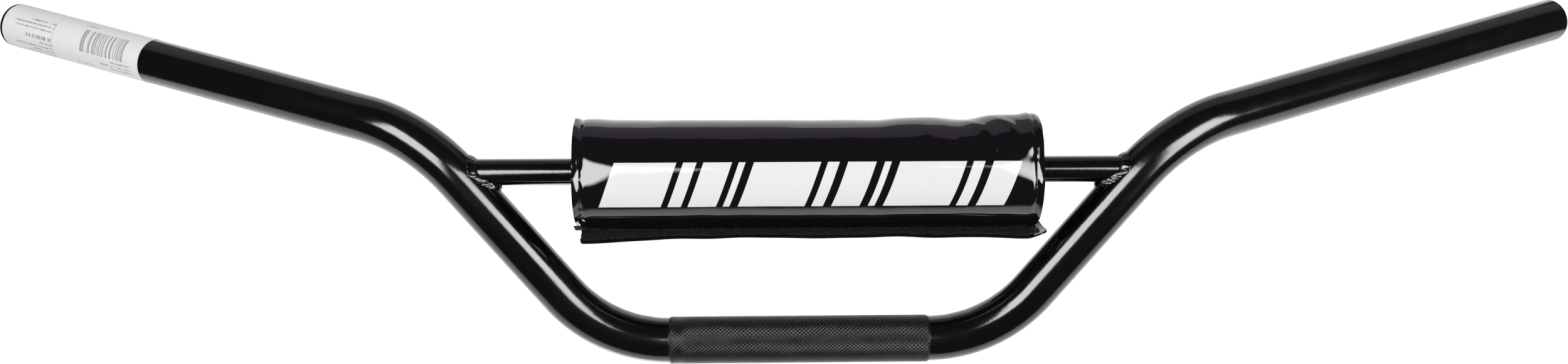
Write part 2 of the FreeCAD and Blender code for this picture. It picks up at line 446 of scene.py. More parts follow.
bar = {
    "radius": 11.1, "bore": 9.1, "rim": 0.8, "boreChamfer": 0.4, "clampHalf": 64.0,
    "lowerBend": 66.6, "riserAngle": 51.1, "riser": 76.1, "upperBend": 68.1, "gripRise": 8.7,
    "gripSweep": 22.2, "grip": 219.6, "around": 112, "bendStep": 1.6, "bendRipple": 0.05,
    "clampSteps": 6, "straightSteps": 14, "boreRound": 0.12, "boreStart": 1.2,
    "rimSteps": 8, "innerCoarser": 3, "rippleReach": 40, "rippleWaves": (11, 16, 7, 4),
}


def legOf(along, length, start, ahead, side, radius):
    return {"from": along, "length": length, "start": start, "ahead": ahead, "side": side, "radius": radius}


def barLegs(values):
    # straight, arc, straight, arc, straight: each leg starts where the last one ends, in its direction
    riserAngle, rise, sweep = (math.radians(values[key]) for key in ("riserAngle", "gripRise", "gripSweep"))
    ahead = [
        np.array([1.0, 0.0, 0.0]),
        np.array([math.cos(riserAngle), 0.0, math.sin(riserAngle)]),
        np.array([math.cos(rise) * math.cos(sweep), math.cos(rise) * math.sin(sweep), math.sin(rise)]),
    ]
    legs, point, along = [], np.zeros(3), 0.0
    for k, length in enumerate((values["clampHalf"], values["riser"], values["grip"])):
        legs.append(legOf(along, length, point, ahead[k], ahead[k], 0.0))
        point, along = point + ahead[k] * length, along + length
        if k < 2:
            radius = values[("lowerBend", "upperBend")[k]]
            angle = math.acos(float(ahead[k] @ ahead[k + 1]))
            side = unitOf(ahead[k + 1] - ahead[k] * (ahead[k] @ ahead[k + 1]))
            legs.append(legOf(along, radius * angle, point, ahead[k], side, radius))
            point = point + radius * (math.sin(angle) * ahead[k] + (1 - math.cos(angle)) * side)
            along += radius * angle
    return legs, along


legs, halfLength = barLegs(bar)


def barLine(along):
    # a point of the centre line and its direction at a signed length from the middle. On a straight the
    # point is start + t * ahead; on an arc it is start + r sin(t/r) * ahead + r (1 - cos(t/r)) * side.
    # The left half is the right half's mirror image in x.
    along = np.asarray(along, dtype=float)
    s = np.abs(along)
    point, direction = np.zeros(s.shape + (3,)), np.zeros(s.shape + (3,))
    for leg in legs:
        here = (s >= leg["from"] - 1e-9)[..., None]
        t = np.clip(s - leg["from"], 0.0, leg["length"])[..., None]
        if leg["radius"]:
            f = t / leg["radius"]
            p = leg["start"] + leg["radius"] * (np.sin(f) * leg["ahead"] + (1 - np.cos(f)) * leg["side"])
            d = np.cos(f) * leg["ahead"] + np.sin(f) * leg["side"]
        else:
            p, d = leg["start"] + t * leg["ahead"], np.broadcast_to(leg["ahead"], direction.shape)
        point, direction = np.where(here, p, point), np.where(here, d, direction)
    turn = np.where(along < 0, -1.0, 1.0)
    point[..., 0] *= turn
    direction[..., 1] *= turn
    direction[..., 2] *= turn
    return point, direction


def roundBar(along, radius, angle):
    # the surface round the centre line: centre + radius * (cos(angle) * down + sin(angle) * back), where back
    # is +Y made square to the direction and down is square to both
    centre, direction = barLine(along)
    back = np.array([0.0, 1.0, 0.0]) - direction * direction[..., 1:2]
    back = unitOf(back)
    down = np.cross(back, direction)
    angle = np.radians(angle)[..., None]
    return centre + np.asarray(radius)[..., None] * (np.cos(angle) * down + np.sin(angle) * back)


def barStations(values, step):
    # lengths from the middle to the last millimetre of the grip, closer together in the bends
    marks = [np.linspace(0, values["clampHalf"], values["clampSteps"])]
    for leg in legs[1:]:
        count = int(leg["length"] / step) if leg["radius"] else values["straightSteps"]
        marks.append(leg["from"] + np.linspace(0, leg["length"], max(count, 2)))
    half = np.unique(np.round(np.concatenate(marks), 4))
    half = half[half < halfLength - 1.0]
    return np.concatenate([-half[:0:-1], half])


def makeTube(values):
    # one closed skin: the outer wall from left to right, a rounded rim, the cut face, the bore's chamfer, and
    # the inner wall back again; in a bend the inside of the curve carries faint ripples left by the bender
    outer = barStations(values, values["bendStep"])
    inner = barStations(values, values["bendStep"] * values["innerCoarser"])[::-1]
    turn = np.radians(np.linspace(0, 90, values["rimSteps"]))
    rimAlong = halfLength - values["rim"] * (1 - np.sin(turn))
    rimRadius = values["radius"] - values["rim"] * (1 - np.cos(turn))
    chamfer = values["boreChamfer"]
    edgeAlong = halfLength - np.array([0.0, 0.0, chamfer, values["boreStart"]])
    edgeRadius = values["bore"] + np.array([chamfer + values["boreRound"], chamfer, 0.0, 0.0])
    rightAlong, rightRadius = np.concatenate([rimAlong, edgeAlong]), np.concatenate([rimRadius, edgeRadius])
    along = np.concatenate([outer, rightAlong, inner, -rightAlong[::-1]])
    radius = np.concatenate([
        np.full(len(outer), values["radius"]), rightRadius,
        np.full(len(inner), values["bore"]), rightRadius[::-1],
    ])
    angle = np.linspace(0, 360, values["around"], endpoint=False)
    along2, radius2, angle2 = np.broadcast_arrays(along[:, None], radius[:, None], angle)
    start, end = legs[1]["from"], legs[1]["from"] + legs[1]["length"]
    inBend = ease((np.abs(along2) - start - 4) / 10) * ease((end - 4 - np.abs(along2)) / 10)
    inward = hill(angle2, 180, values["rippleReach"])
    ripple = values["bendRipple"] * inBend * inward * wander(along2, *values["rippleWaves"])
    radius2 = np.where(radius2 > values["bore"] + 1, radius2 + ripple, radius2)
    points = roundBar(along2, radius2, angle2)
    faces, rowNumber, columnNumber = gridFaces(len(along), values["around"], True, True)
    lengths = np.concatenate([[0], np.cumsum(np.hypot(np.diff(along), np.diff(radius)))])
    lengths = np.append(lengths, lengths[-1] + 1)
    uv = np.stack([lengths[rowNumber] / 100, columnNumber / values["around"] * 0.7], axis=-1)
    return makePiece("barTube", points, faces, uv, sharp=38)


barTube = makeTube(bar)
print("bar tube swept")


# The knurled clamp zone

knurl = {
    "half": 64.3, "radius": 11.62, "foot": 11.13, "inside": 10.7, "depth": 0.13, "second": 0.55,
    "along": 63, "around": 40, "samples": 6, "flank": 0.333, "fade": 0.9, "ragged": 0.4,
    "worn": (-59.5, 3.0, 0.5), "seed": 21,
}


def makeKnurl(values):
    # two families of slanting grooves, at whole numbers of a = u + v and b = u - v, with u counted along the
    # bar and v round it; a groove's cut falls from 1 to 0 over the flank as the distance 1 - |2 frac - 1|
    # grows, the second family is shallower, and the deeper of the two cuts counts
    n = values["samples"]
    rows, columns = values["along"] * n + 1, values["around"] * n
    i, j = np.arange(rows)[:, None], np.arange(columns)[None, :]
    x = (i / n / values["along"] - 0.5) * 2 * values["half"] + 0 * j
    angle = j / columns * 360 + 0 * i

    def fromGroove(phase):
        return 1 - np.abs(2 * (phase % 1.0) - 1)

    def cutBy(phase):
        return np.clip(1 - fromGroove(phase) / values["flank"], 0, 1)

    rise = 1 - np.maximum(cutBy((i + j) / n), values["second"] * cutBy((i - j) / n))
    centre, width, share = values["worn"]
    seed = values["seed"]
    worn = (1 - share * hill(x, centre, width)) * (1 + 0.08 * wander(x + angle * 0.3, seed, 60, 5))
    endLine = values["half"] - values["ragged"] * (0.5 + 0.5 * wander(angle * 0.2, seed + 1, 14, 1.4))
    held = ease((endLine - np.abs(x)) / values["fade"])
    foot = values["foot"]
    radius = foot + (values["radius"] - foot - values["depth"] * worn * (1 - rise)) * held
    outer = xyz(x, radius * np.sin(np.radians(angle)), -radius * np.cos(np.radians(angle)))
    ends = outer[[-1, 0]] * np.array([1, values["inside"] / foot, values["inside"] / foot])
    quads, rowNumber, columnNumber = gridFaces(rows + 2, columns, True, True)
    row, column = rowNumber[:, :1], columnNumber[:, :1]
    anti = fromGroove((row + column + 1) / n) < fromGroove((row - column) / n)
    first = np.where(anti, quads[:, [0, 1, 3]], quads[:, [0, 1, 2]])
    second = np.where(anti, quads[:, [1, 2, 3]], quads[:, [0, 2, 3]])
    rises = np.concatenate([(rise * held).ravel(), np.zeros(2 * columns)])
    points = np.concatenate([outer, ends])
    return makePiece("clampKnurl", points, np.concatenate([first, second]), rises=rises, sharp=12)


clampKnurl = makeKnurl(knurl)
print("knurl rolled")


# Crossbar and its weld beads

crossbar = {
    "radius": 6.35, "height": 86.6, "around": 64, "riserPoint": (115.83, 24.78), "sunk": 0.5, "stations": 25,
}


def riserFace(y, z):
    # x of the riser's inner face at a height: the riser leans by A from level, so x is
    # x0 + (cos A (z - z0) - sqrt(R^2 - y^2)) / sin A
    lean = math.radians(bar["riserAngle"])
    x0, z0 = crossbar["riserPoint"]
    return x0 + (math.cos(lean) * (z - z0) - np.sqrt(bar["radius"] ** 2 - y**2)) / math.sin(lean)


def aroundCrossbar(angle, radius):
    return radius * np.sin(np.radians(angle)), crossbar["height"] - radius * np.cos(np.radians(angle))


def makeCrossbar(values):
    # a rod along x whose two end rings follow the risers' round faces and sink a little into them
    angle = np.linspace(0, 360, values["around"], endpoint=False)
    y, z = aroundCrossbar(angle, values["radius"])
    reach = riserFace(y, z) + values["sunk"]
    share = np.linspace(-1, 1, values["stations"])[:, None]
    wall = xyz(share * reach, y, z)
    middle = np.array([riserFace(0.0, values["height"]) + values["sunk"], 0.0, values["height"]])
    right = np.broadcast_to(middle, (1, values["around"], 3))
    left = right * np.array([-1, 1, 1])
    points = np.concatenate([left, wall, right])
    faces = gridFaces(len(points), values["around"], False, True)[0]
    return makePiece("crossbarRod", points, faces, weld=True, sharp=50)


weld = {
    "onBar": 2.2, "onRiser": 2.1, "under": 0.45, "underSpread": 55.0, "buried": 0.9, "length": 45.0,
    "crown": 0.24, "ripple": 0.40, "ripples": 36, "rippleSide": -52.0, "rippleSpread": 25.0,
    "around": 360, "across": 13, "lumps": 0.10, "seed": 31,
}


def makeWeld(name, side, values):
    # the bead's skin runs across from a toe line on the crossbar to a toe line on the riser as a bent strip,
    # (1-s)^2 A + 2 s (1-s) K + s^2 B, where K is the middle of A and B pushed outward by twice the crown; the
    # crown carries overlapping crescents along the lower front, the legs grow in the sharp corner underneath,
    # and a hidden line inside closes the skin
    angle = np.linspace(0, 360, values["around"], endpoint=False)
    turn = np.radians(angle)
    fromUnder = (angle + 180) % 360 - 180
    fromRipples = (angle - values["rippleSide"] + 180) % 360 - 180
    wayRound = values["length"]
    loop, seed = wayRound * angle / 360, values["seed"]
    grown = 1 + values["under"] * hill(fromUnder, 0, values["underSpread"])
    legOne, legTwo = (
        values[key] * grown * (1 + values["lumps"] * wander(loop, seed + k, wayRound / 4, 2.0, 5))
        for k, key in enumerate(("onBar", "onRiser"))
    )
    y, z = aroundCrossbar(angle, crossbar["radius"])
    corner = xyz(riserFace(y, z), y, z)
    toeBar = corner - xyz(legOne, 0, 0)
    y2, z2 = aroundCrossbar(angle, crossbar["radius"] + legTwo)
    toeRiser = xyz(riserFace(y2, z2), y2, z2)
    fromBar = xyz(0.0, np.sin(turn), -np.cos(turn))
    lean = math.radians(bar["riserAngle"])
    inPlane = np.array([-math.sin(lean), 0.0, math.cos(lean)])
    fromRiser = xyz(0.0, y, 0.0) + np.sqrt(bar["radius"] ** 2 - y**2)[:, None] * inPlane
    outward = unitOf(fromBar + unitOf(fromRiser))
    s = np.linspace(0, 1, values["across"])[None, :]
    shift = 0.9 * (s - 0.5) ** 2 + 0.12 * wander(loop, seed + 2, wayRound / 2, 3, 5)[:, None]
    crescent = ((values["ripples"] * angle[:, None] / 360 + shift) % 1.0) ** 0.8
    strength = values["ripple"] * (0.03 + 0.97 * hill(fromRipples, 0, values["rippleSpread"]))[:, None]
    grit = 0.45 * strength * wander(loop[:, None] * 1.7 + s * 2.6, seed + 4, 5, 0.9, 5)
    crown = values["crown"] * (1 + 0.5 * wander(loop, seed + 3, 15, 2.2, 6))[:, None]
    crown = crown + strength * (crescent - 0.4) + grit
    k = ((toeBar + toeRiser) / 2)[:, None, :] + outward[:, None, :] * crown[..., None] * 2
    s = s[..., None]
    skin = (1 - s) ** 2 * toeBar[:, None, :] + 2 * s * (1 - s) * k + s**2 * toeRiser[:, None, :]
    inside = corner - outward * values["buried"]
    points = np.concatenate([skin, inside[:, None, :]], axis=1)
    points[..., 0] *= side
    faces = gridFaces(values["around"], values["across"] + 1, True, True)[0]
    return makePiece(name, points, faces)


crossbarRod = makeCrossbar(crossbar)
weldBeads = [makeWeld("weldBeadLeft", -1, weld), makeWeld("weldBeadRight", 1, dict(weld, seed=57))]
print("crossbar and welds built")


# Paper labels on the left grip

labels = {
    "glue": 0.03, "thickness": 0.1, "gap": 4.0, "end": (2.0, 35.0), "inner": (35.2, 90.9),
    "step": 0.8, "around": 97, "lift": 0.05, "liftSpread": 9, "liftWaves": (5, 30, 4, 6),
}


def makeLabel(name, values, reach):
    # a thin sleeve that follows the grip between two lengths from its end, open by the gap at the back
    near, far = reach
    radius = bar["radius"] + values["glue"] + values["thickness"] / 2
    half = 180 - math.degrees(values["gap"] / 2 / bar["radius"])
    angle = np.linspace(-90 - half, -90 + half, values["around"])[None, :]
    count = int((far - near) / values["step"])
    along = np.linspace(-(halfLength - near), -(halfLength - far), count)[:, None]
    lift = values["lift"] * hill(np.abs(angle + 90), half, values["liftSpread"])
    lift = lift * (1 + wander(along, *values["liftWaves"]))
    middle = roundBar(along + 0 * angle, radius + lift, angle + 0 * along)
    around = np.radians(angle + 90) * bar["radius"]
    return sheetPiece(name, middle, values["thickness"], along + halfLength - near, around)


labelEnd = makeLabel("labelEnd", labels, labels["end"])
labelInner = makeLabel("labelInner", labels, labels["inner"])
print("labels wrapped")


# The pad: a foam core, a vinyl cover with a lap under it, end discs, closing strips and stitches

pad = {
    "left": -106.7, "right": 113.7, "middleRadius": 25.0, "thickness": 1.0, "firstAngle": 24.0,
    "lapOffset": 3.6, "lapReach": 11.4, "seam": 3.3, "pull": 0.55, "pullWidth": 0.85,
    "lipFlare": 0.5, "topPull": 0.10, "frontPull": 1.85, "frontAngle": -116.0, "frontSpread": 25.0,
    "pullLength": 16.5, "pucker": 0.10, "droop": 3.4, "tab": 4.2, "crease": 0.42,
    "creaseAngle": -23.0, "topFlat": 0.62,
    # height, x and half width of the top line's hollows and rises, in millimetres
    "topHollow": (-0.5, 5, 45),
    "topLine": [(-0.65, 38, 9), (-1.3, 79, 9), (-0.4, 84, 6), (1.1, 110, 4)],
    "topLineAt": (-190, 32),
    # height, x, half width, angle and spread of the humps near the top
    "humps": [(0.7, 50, 15, -178, 28), (-0.25, 69, 7, -172, 34)], "shoulder": 1.5,
    "shoulderAt": (-172, 34), "rowsAlong": 146, "columnsRound": 330, "rowsEven": 0.26,
    "rowsPower": 1.8, "calm": 0.8, "creaseWidth": 2.4, "sagSpread": 20, "tabWidth": 3.2,
    "puckerWidth": 2.6,
    # where these begin or end, and over what length or angle
    "topFlatFrom": (-100, 14), "topFlatTo": (50, 18), "shoulderFrom": (70, 22), "shoulderTo": (110, 6),
    "creaseFrom": (-75, 70), "calmFrom": (-40, 14),
}

# seed, longest wave, shortest wave and number of waves of the pad's uneven lines
padWaves = {
    "taper": (61, 60, 14, 5), "pull": (62, 25, 4, 6), "pucker": (64, 22, 5.5, 7),
    "flare": (65, 34, 7, 6), "slant": (71, 90, 18, 6), "round": (72, 70, 16, 6),
    "crease": (73, 120, 25, 4), "border": (81, 30, 6, 4), "hang": (82, 150, 26, 6),
}

flap = {
    "inset": 1.0, "rounding": 3.2, "roundLength": 9.0, "point": 5.0, "pointBulge": 1.2,
    "pointCut": 9.0,
    # height, x and half width of where its edge hangs lower, beside a sag at the left corner
    "hang": [(1.3, 105, 17), (-0.5, 42, 22)], "cornerHang": 2.4, "evenHang": 0.4, "uneven": 0.35,
}

core = {
    "radius": 23.7, "slit": 1.4, "inset": 1.2, "clearance": 0.1, "around": 121, "along": 60,
}

endDisc = {
    "rim": 23.1, "turn": 1.9, "clearance": 0.15, "thickness": 0.9, "slit": 2.0, "behindSeam": 0.6,
    "lipShort": 1.6, "dish": -0.7, "uneven": 0.22, "around": 145, "across": 30,
}

firstLength = math.radians(pad["firstAngle"] + 270) * pad["middleRadius"]
lapRadius = pad["middleRadius"] + pad["lapOffset"]
lapLength = math.radians(90) * lapRadius
coverWidth = firstLength + lapLength + pad["lapReach"]


def coverSection(w):
    # the cover's section in y and z by its length w from the first edge: an arc round the crossbar, then a
    # quarter arc of larger radius for the lap, then a straight flap; with the outward normal and the angle
    angle = math.radians(pad["firstAngle"]) - w / pad["middleRadius"]
    lapAngle = math.radians(90) - (w - firstLength) / lapRadius
    flat = w - firstLength - lapLength
    onArc, onLap = w <= firstLength, w <= firstLength + lapLength
    lapY = -pad["lapOffset"] + np.where(onLap, lapRadius * np.sin(lapAngle), -flat)
    lapZ = np.where(onLap, -lapRadius * np.cos(lapAngle), -lapRadius)
    y = np.where(onArc, pad["middleRadius"] * np.sin(angle), lapY)
    z = np.where(onArc, -pad["middleRadius"] * np.cos(angle), lapZ)
    normalY = np.where(onArc, np.sin(angle), np.where(onLap, np.sin(lapAngle), 0.0))
    normalZ = np.where(onArc, -np.cos(angle), np.where(onLap, -np.cos(lapAngle), -1.0))
    return y, z, xyz(0.0, normalY, normalZ), np.degrees(np.where(onArc, angle, lapAngle))


def endPull(angle):
    # how far the end seam draws the cover in: a bell curve over the upper front on top of an even share
    return pad["topPull"] + pad["frontPull"] * hill(angle, pad["frontAngle"], pad["frontSpread"])


def endTaper(fromEnd):
    # the square of 1 - t, with t from the seam inward over the pull's length
    return np.clip(1 - (fromEnd - pad["seam"]) / pad["pullLength"], 0, 1) ** 2


def drawnIn(angle):
    return endPull(np.where(angle > pad["firstAngle"], angle - 360, angle))


def coverRelief(x, w, angle):
    # how far the vinyl stands off its plain section: the seam's pull and puckers and the lip's flare at each
    # end, a hollow towards the seams, the sag and a long crease along the bottom, the top line's rises and
    # hollows, and the folds at the upper right. The angle runs from 24 at the first edge down to -270, and
    # the pad's top is -180.
    fromLeft, fromRight = x - pad["left"], pad["right"] - x
    fromEnd = np.minimum(fromLeft, fromRight)
    onArc = 1 - ease((w - firstLength + 6) / 8)
    place = w + np.where(fromLeft < fromRight, 0.0, 40.0)
    taper = -endPull(angle) * endTaper(fromEnd) * (1 + 0.12 * wander(place, *padWaves["taper"]))
    taper = np.maximum(taper, -endPull(angle) * 1.15)
    pull = -pad["pull"] * hill(fromEnd, pad["seam"], pad["pullWidth"])
    pull = pull * (1 + 0.2 * wander(place, *padWaves["pull"]))
    puckers = pad["pucker"] * wander(place, *padWaves["pucker"])
    puckers = puckers * hill(fromEnd, pad["seam"] + 0.4, pad["puckerWidth"])
    flare = pad["lipFlare"] * ease((pad["seam"] - 0.6 - fromEnd) / 2.4)
    flare = flare * (1 + 0.5 * wander(place, *padWaves["flare"]))
    calm = 1 - pad["calm"] * onset(angle, *pad["calmFrom"])
    ends = (taper + (pull + puckers + flare) * calm) * onArc
    sag = pad["droop"] * hill(angle, 0, pad["sagSpread"]) * onArc * (0.85 + 0.15 * ease(fromEnd / 14))
    sag = sag + pad["tab"] * hill(fromLeft, 0, pad["tabWidth"]) * ease((7.5 - w) / 6)
    shoulder = pad["shoulder"] * onset(x, *pad["shoulderFrom"]) * (1 - onset(x, *pad["shoulderTo"]))
    swell = shoulder * hill(angle, *pad["shoulderAt"])
    for height, at, width, around, spread in pad["humps"]:
        swell = swell + height * hill(x, at, width) * hill(angle, around, spread)
    line = addHills(0.0, x, [pad["topHollow"]]) - pad["topFlat"] * onset(x, *pad["topFlatFrom"])
    line = addHills(line * (1 - onset(x, *pad["topFlatTo"])), x, pad["topLine"])
    swell = swell + line * hill(angle, *pad["topLineAt"])
    creaseLine = pad["creaseAngle"] + 1.2 * wander(x, *padWaves["crease"])
    crease = pad["crease"] * hill(angle, creaseLine, pad["creaseWidth"]) * onset(x, *pad["creaseFrom"])
    slow = 0.06 * wander(x + 0.35 * angle, *padWaves["slant"])
    slow = slow + 0.05 * wander(w * 1.3 - x * 0.2, *padWaves["round"])
    return ends + sag + (swell + creases(x, angle) + crease + slow) * onArc


def creases(x, angle):
    # short slanting folds, most of them near the right end: each is a ridge or a hollow, a bell curve across
    # its line, that fades along it
    total = np.zeros(np.shape(x + angle))
    for px, pAngle, slope, length, width, height in foldLines:
        across = (x - px) - slope * (angle - pAngle)
        alongIt = (angle - pAngle) + slope * 0.4 * (x - px)
        total = total + height * hill(across, 0, width) * hill(alongIt, 0, length)
    return total


foldLines = [
    # x, angle, slope in mm per degree, half length in degrees, half width in mm, height in mm
    (84.0, -158.0, 0.30, 13.0, 2.8, 0.60),
    (91.0, -150.0, -0.22, 11.0, 2.2, -0.48),
    (98.0, -160.0, 0.35, 12.0, 2.6, 0.58),
    (103.5, -152.0, 0.12, 12.0, 2.1, -0.40),
    (107.5, -137.0, 0.0, 14.0, 6.0, 0.95),
    (60.0, -152.0, -0.25, 11.0, 3.6, 0.28),
    (71.0, -146.0, 0.30, 9.0, 2.6, -0.24),
    (-40.0, -141.0, 0.8, 8.0, 6.0, 0.10),
    (20.0, -143.0, -0.9, 9.0, 7.0, 0.09),
]


def coverEdges(w):
    # the sheet's left and right border lines: on the left the flap is cut shorter and its corner is rounded,
    # an inset of r (1 - sqrt(1 - 0.96 t^2)) over its last millimetres; on the right it ends in a slanting
    # point
    onFlap = ease((w - firstLength - lapLength * 0.45) / (lapLength * 0.5))
    t = np.clip((w - coverWidth + flap["roundLength"]) / flap["roundLength"], 0, 1)
    rounding = flap["rounding"] * (1 - np.sqrt(1 - 0.96 * t**2))
    left = pad["left"] + flap["inset"] * onFlap + 0.3 * onFlap * wander(w, *padWaves["border"]) + rounding
    bulge = flap["pointBulge"] * hill(w, firstLength + lapLength + 2, 4)
    return left, pad["right"] + flap["point"] * onFlap + bulge - flap["pointCut"] * t**1.5


def coverPoint(share, w, lift=0.0):
    # share runs from 0 at the left border to 1 at the right; lift moves the point outward from the vinyl
    left, right = coverEdges(w)
    x = left + share * (right - left)
    y, z, normal, angle = coverSection(w)
    hang = flap["evenHang"] + flap["uneven"] * wander(x, *padWaves["hang"])
    hang = addHills(hang + flap["cornerHang"] * hill(x, left - 6, 26), x, flap["hang"])
    z = z + crossbar["height"] - hang * ease((w - firstLength - lapLength + 14) / 16)
    return xyz(x, y, z) + normal * (coverRelief(x, w, angle) + lift)[..., None]


def makeCover(values):
    # rows are closer together near the two seams, at an even share of t plus 1 - (1 - t)^1.8 from the middle
    # to each end; along the section the columns are evenly spaced
    t, even = np.linspace(-1, 1, values["rowsAlong"]), values["rowsEven"]
    share = 0.5 + 0.5 * (even * t + (1 - even) * np.sign(t) * (1 - (1 - np.abs(t)) ** values["rowsPower"]))
    share, w = np.broadcast_arrays(share[:, None], np.linspace(0, coverWidth, values["columnsRound"]))
    middle = coverPoint(share, w)
    return sheetPiece("padCover", middle, values["thickness"], middle[..., 0], w, sharp=45)


def makeCore(values):
    # a thick foam sleeve with a slit along its underside, drawn in towards the ends like the cover
    angle = np.linspace(values["slit"], 360 - values["slit"], values["around"])[None, :]
    inset = pad["seam"] + values["inset"]
    x = np.linspace(pad["left"] + inset, pad["right"] - inset, values["along"])[:, None]
    fromEnd = np.minimum(x - pad["left"], pad["right"] - x)
    outer = values["radius"] - endTaper(fromEnd) * drawnIn(angle)
    inner = crossbar["radius"] + values["clearance"]
    y, z = aroundCrossbar(angle, (outer + inner) / 2)
    return sheetPiece("padCore", xyz(x, y, z), outer - inner, x, angle / 4)


def makeEndDisc(name, side, values):
    # a disc round the crossbar, dished a little, whose rim turns outward along the inside of the lip; its
    # section runs from the bar hole out to the rim, round a quarter turn and along the rim to the pad's end
    faceAt = (pad["right"] if side > 0 else pad["left"]) - side * (pad["seam"] + values["behindSeam"])
    angle = np.linspace(values["slit"], 360 - values["slit"], values["around"])[None, :]
    hole, rim, turn = crossbar["radius"] + values["clearance"], values["rim"], values["turn"]
    flat, curve, lip = rim - turn - hole, turn * math.pi / 2, pad["seam"] - values["lipShort"]
    t = np.linspace(0, 1, values["across"])[:, None] * (flat + curve + lip)
    onFlat, onCurve = t <= flat, t <= flat + curve
    bend = (t - flat) / turn
    radius = np.where(onFlat, hole + t, np.where(onCurve, hole + flat + turn * np.sin(bend), rim))
    out = np.where(onFlat, 0.0, np.where(onCurve, turn * (1 - np.cos(bend)), turn + t - flat - curve))
    share = np.clip(t / flat, 0, 1)
    uneven = values["uneven"] * wander(angle / 6 + t * 0.2, 91 + side, 34, 6, 6) * share
    x = faceAt + side * (out + values["dish"] * np.sin(share * math.pi) + uneven)
    radius = hole + (radius - hole) * (rim - drawnIn(angle) - hole) / (rim - hole)
    y, z = aroundCrossbar(angle, radius)
    return sheetPiece(name, xyz(x, y, z), values["thickness"], radius, angle / 3)


padCover = makeCover(pad)
padCore = makeCore(core)
endDiscs = [makeEndDisc("padEndLeft", -1, endDisc), makeEndDisc("padEndRight", 1, endDisc)]
print("pad cover, core and ends built")


strips = {
    "width": 16.0, "thickness": 0.6, "length": 213.0, "endMargin": 3.5, "loopEnd": 1.3,
    "hookStart": 0.4, "hookEdge": 1.4, "above": 0.18, "loopAngle": -14.0, "loopSpan": 36.5,
    "turnLength": 220.0, "cell": 0.55, "fuzz": 0.16,
}
padLength = pad["right"] - pad["left"]


def stripNoise(shape, size, seed):
    # one random height for each point of the grid, averaged once with its neighbours on both sides
    rough = np.random.default_rng(seed).normal(0, 1, shape)
    rough = (rough + 0.6 * np.roll(rough, 1, 0) + 0.6 * np.roll(rough, 1, 1)) / 1.6
    return size * rough


def makeStrip(name, values, point, seed):
    # a band of woven tape: its middle follows the vinyl, its face is roughened by the loops or hooks, and it
    # thins out at both long edges
    rows = int((padLength - 2 * values["endMargin"]) / values["cell"])
    columns = int(values["width"] / values["cell"])
    share, across = np.broadcast_arrays(np.linspace(0, 1, rows)[:, None], np.linspace(0, 1, columns)[None, :])
    along = share * values["length"]
    thin = 1 - 0.85 * np.abs(2 * across - 1) ** 10
    fuzz = stripNoise((rows, columns), values["fuzz"], seed) * thin
    middle = point(share, across, 0.3 * wander(along, seed, 70, 9, 7), fuzz)
    return sheetPiece(name, middle, values["thickness"] * thin, along, across * values["width"], sharp=70)


def stripShare(share, before):
    # a strip's share along the cover: it starts a length before the left border and stops short at the right
    return -before / padLength + share * (1 + (before - strips["endMargin"]) / padLength)


def hookPoint(share, across, uneven, fuzz):
    # on the inside of the flap, its front edge a little behind the flap's and a little wavy
    w = coverWidth - strips["hookEdge"] - across * strips["width"] - 0.35 * uneven * (1 - across)
    place = coverPoint(stripShare(share, -strips["hookStart"]), w, -(pad["thickness"] / 2 + strips["above"]))
    place[..., 2] += fuzz
    return place


def loopPoint(share, across, uneven, fuzz):
    # on the outside of the cover's first edge; at the left its end sticks out a little and turns to the front
    fromLeft = share * strips["turnLength"]
    turned = 3.0 * hill(fromLeft, 0, 11) + 8.0 * hill(fromLeft, 0, 4)
    angle = strips["loopAngle"] + across * strips["loopSpan"] - turned * (1 - across)
    w = np.radians(pad["firstAngle"] - angle) * pad["middleRadius"]
    place = coverPoint(stripShare(share, strips["loopEnd"]), w, pad["thickness"] / 2 + strips["above"])
    place[..., 2] -= 0.5 * fuzz
    return place


hookStrip = makeStrip("hookStrip", strips, hookPoint, 14)
loopStrip = makeStrip("loopStrip", strips, loopPoint, 15)
print("closing strips laid")


stitches = {
    "pitch": 3.1, "length": 2.3, "radius": 0.22, "sunk": 0.16, "rows": 7, "columns": 7, "dip": 0.7,
    "seamMargin": 4.0, "flapMargin": 7.0,
    "flapRows": {"flapStitchesFront": 3.0, "flapStitchesBack": 15.6},
}


def makeStitches(name, share, w, stepShare, stepW, values):
    # a row of stitches at places on the cover, along the direction between a step back and a step on. Each is
    # a small spindle: a round section whose radius follows the square root of 1 - t^4 along its length
    lift = pad["thickness"] / 2 - values["sunk"]
    back, centre, on = (coverPoint(share + k * stepShare, w + k * stepW, lift) for k in (-1, 0, 1))
    ahead = unitOf(on - back)
    outward = coverSection(w)[2]
    outward = unitOf(outward - ahead * np.sum(outward * ahead, axis=-1, keepdims=True))
    across = np.cross(ahead, outward)
    t = np.cos(np.linspace(0, math.pi, values["rows"]))[:, None]
    turn = np.linspace(0, 2 * math.pi, values["columns"], endpoint=False)[None, :]
    section = values["radius"] * (np.maximum(1 - t**4, 0)) ** 0.5
    dip = values["dip"] * values["radius"] * t**2
    local = xyz(t * values["length"] / 2, section * np.cos(turn), section * np.sin(turn) - dip)
    axes = np.stack([ahead, across, outward], axis=1)
    points = centre[:, None, None, :] + np.einsum("rck,nkj->nrcj", local, axes)
    faces = gridFaces(values["rows"], values["columns"], False, True)[0]
    size = values["rows"] * values["columns"]
    allFaces = (faces[None] + (np.arange(len(centre)) * size)[:, None, None]).reshape(-1, 4)
    return makePiece(name, points, allFaces, weld=True)


def seamStitches(name, side, values):
    # the seam runs round the arc part of the cover, a seam's width inside the end
    count = int((firstLength - 2 * values["seamMargin"]) / values["pitch"])
    w = values["seamMargin"] + np.arange(count) * values["pitch"]
    share = np.full(count, pad["seam"] / padLength if side < 0 else 1 - pad["seam"] / padLength)
    return makeStitches(name, share, w, 0.0, 0.3, values)


